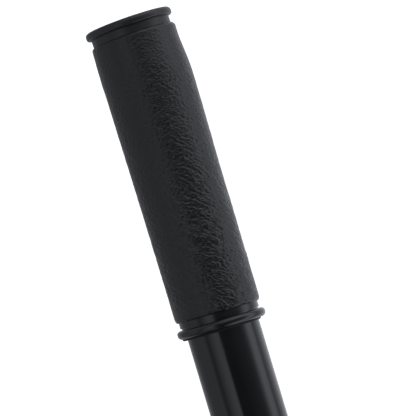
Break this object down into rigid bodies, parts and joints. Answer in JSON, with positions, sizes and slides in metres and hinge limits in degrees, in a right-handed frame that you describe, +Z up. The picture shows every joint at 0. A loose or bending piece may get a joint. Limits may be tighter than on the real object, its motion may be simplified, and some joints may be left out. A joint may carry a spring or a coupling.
{
  "type": "door security bar",
  "caption": "Telescoping door brace bar with a leather-grained hand grip, a tilting fork that hooks under a door handle and a tilting rubber-soled foot.",
  "frame": {"origin": "centre of the foot's sole, on the bar's axis, with the bar telescoped shut", "axes": "+X along the bar from the foot to the grip, +Y towards the door (the fork's side), +Z up with the bar lying on its side"},
  "size_m": [0.9381, 0.1442, 0.068],
  "materials": {
    "tube_black": "gloss black powder coat",
    "nylon_black": "moulded black nylon",
    "nylon_white": "natural nylon",
    "grip_plastic": "semi-gloss black moulded plastic",
    "foam": "closed-cell foam",
    "grip_leather": "charcoal pebble-grained leather cloth",
    "rubber_black": "matt black rubber",
    "cast_black": "satin black coated casting",
    "zinc_steel": "zinc-plated steel",
    "spring_steel": "blued spring steel"
  },
  "bodies": {
    "upper_tube": {"outer_tube": "tube_black", "mouth_bushing": "nylon_black", "grip_seal": "rubber_black", "grip_core": "grip_plastic", "grip_foam": "foam", "grip_sleeve": "grip_leather", "cap_plug": "nylon_black", "grip_cap": "grip_plastic", "clamp_liner": "rubber_black", "yoke_clamp_rear": "cast_black", "yoke_clamp_front": "cast_black", "clamp_screws": "zinc_steel", "clamp_nuts": "zinc_steel", "yoke_pivot_bolt": "zinc_steel", "yoke_pivot_nut": "zinc_steel", "yoke_pivot_washers": "zinc_steel"},
    "fork": {"yoke_fork": "cast_black", "yoke_pivot_bush": "nylon_white", "fork_liner": "rubber_black", "door_pads": "rubber_black"},
    "lower_tube": {"lower_tube": "tube_black", "guide_bushing": "nylon_black", "foot_stem": "cast_black", "foot_pivot_bush": "nylon_white", "stem_pin": "zinc_steel"},
    "button": {"snap_button": "zinc_steel", "button_spring": "spring_steel"},
    "foot": {"foot_shoe": "cast_black", "foot_sole": "rubber_black", "foot_pivot_bolt": "zinc_steel", "foot_pivot_nut": "zinc_steel", "foot_pivot_washers": "zinc_steel"}
  },
  "joints": [
    {"name": "tube_slide", "type": "slide", "parent": "upper_tube", "child": "lower_tube", "axis": [-1, 0, 0], "range_m": [0, 0.3]},
    {"name": "button_press", "type": "slide", "parent": "lower_tube", "child": "button", "axis": [0, 0, -1], "range_m": [0, 0.004], "stiffness_N_per_m": 1200, "springref_m": -0.003, "deforming": ["button_spring"]},
    {"name": "fork_tilt", "type": "hinge", "parent": "upper_tube", "child": "fork", "pos_m": [0.69, 0.084, 0], "axis": [0, 0, 1], "range_deg": [-30, 15]},
    {"name": "foot_tilt", "type": "hinge", "parent": "lower_tube", "child": "foot", "pos_m": [0.03, 0, 0], "axis": [0, 0, 1], "range_deg": [-40, 40]}
  ]
}
